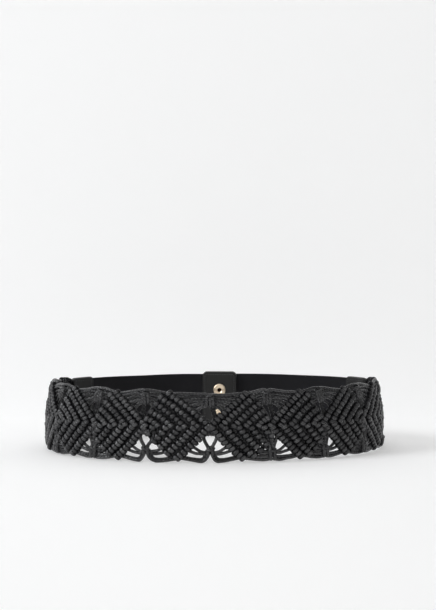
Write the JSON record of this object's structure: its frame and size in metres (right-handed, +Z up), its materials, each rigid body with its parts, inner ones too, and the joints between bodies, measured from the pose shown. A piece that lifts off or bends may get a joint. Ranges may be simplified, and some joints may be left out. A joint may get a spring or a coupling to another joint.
{
  "type": "stretch belt",
  "caption": "Wide knotted-cord belt front with an elastic back, faux-leather tabs and press snaps, fastened as a standing oval loop.",
  "frame": {"origin": "on the surface it stands on, at the middle of the loop's outline", "axes": "+X along the loop's width, towards the right-hand end seen from the front; -Y is the front of the macrame panel and +Y the snap closure; +Z up, from the lower edge to the upper edge"},
  "size_m": [0.3063, 0.224, 0.062],
  "materials": {
    "cord": "waxed twisted cord, black, soft satin glints",
    "elastic": "matt black woven elastic",
    "leather": "fine-grained black faux leather, low sheen",
    "thread": "black sewing thread",
    "gold": "polished pale gold plate"
  },
  "bodies": {
    "root": {"macrame_panel": "cord", "end_tab_left": "leather", "end_tab_right": "leather", "elastic_left": "elastic", "elastic_right": "elastic", "closure_tab_inner": "leather", "closure_tab_outer": "leather", "snap_post_upper": "gold", "snap_post_lower": "gold", "snap_cap_upper": "gold", "snap_cap_lower": "gold"}
  },
  "joints": []
}
